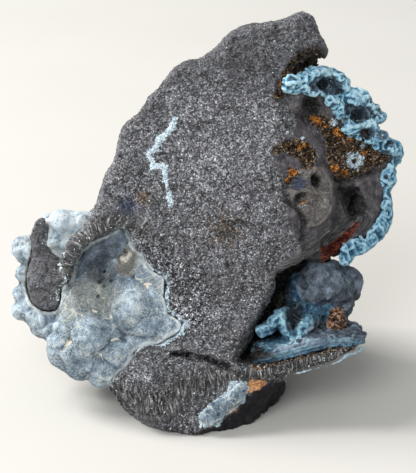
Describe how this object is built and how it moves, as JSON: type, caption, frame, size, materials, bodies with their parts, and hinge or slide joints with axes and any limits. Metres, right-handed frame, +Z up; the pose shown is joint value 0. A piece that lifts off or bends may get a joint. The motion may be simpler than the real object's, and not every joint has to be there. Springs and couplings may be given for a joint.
{
  "type": "mineral specimen",
  "caption": "Upright cabinet specimen of dark granular rock with a claw-shaped edge, a ledge, and blue shattuckite crusts in its hollows.",
  "frame": {"origin": "middle of the flat that the specimen rests on, at the surface under it", "axes": "+Z up, -Y towards the viewer of the broken face, +X towards the ledge and the bright crust"},
  "size_m": [0.0807, 0.054, 0.0789],
  "materials": {
    "rock": "granular, sparkling",
    "left_crust": "matte, finely fibrous",
    "upper_crust": "matte",
    "hollow_crust": "matte",
    "ledge_rim": "matte",
    "foot_crust": "matte",
    "back_crust": "matte",
    "brown_crystal": "rough"
  },
  "bodies": {
    "root": {"rock": "rock", "left_crust": "left_crust", "upper_crust": "upper_crust", "hollow_crust": "hollow_crust", "ledge_rim": "ledge_rim", "foot_crust": "foot_crust", "back_crust": "back_crust", "brown_crystal": "brown_crystal"}
  },
  "joints": []
}
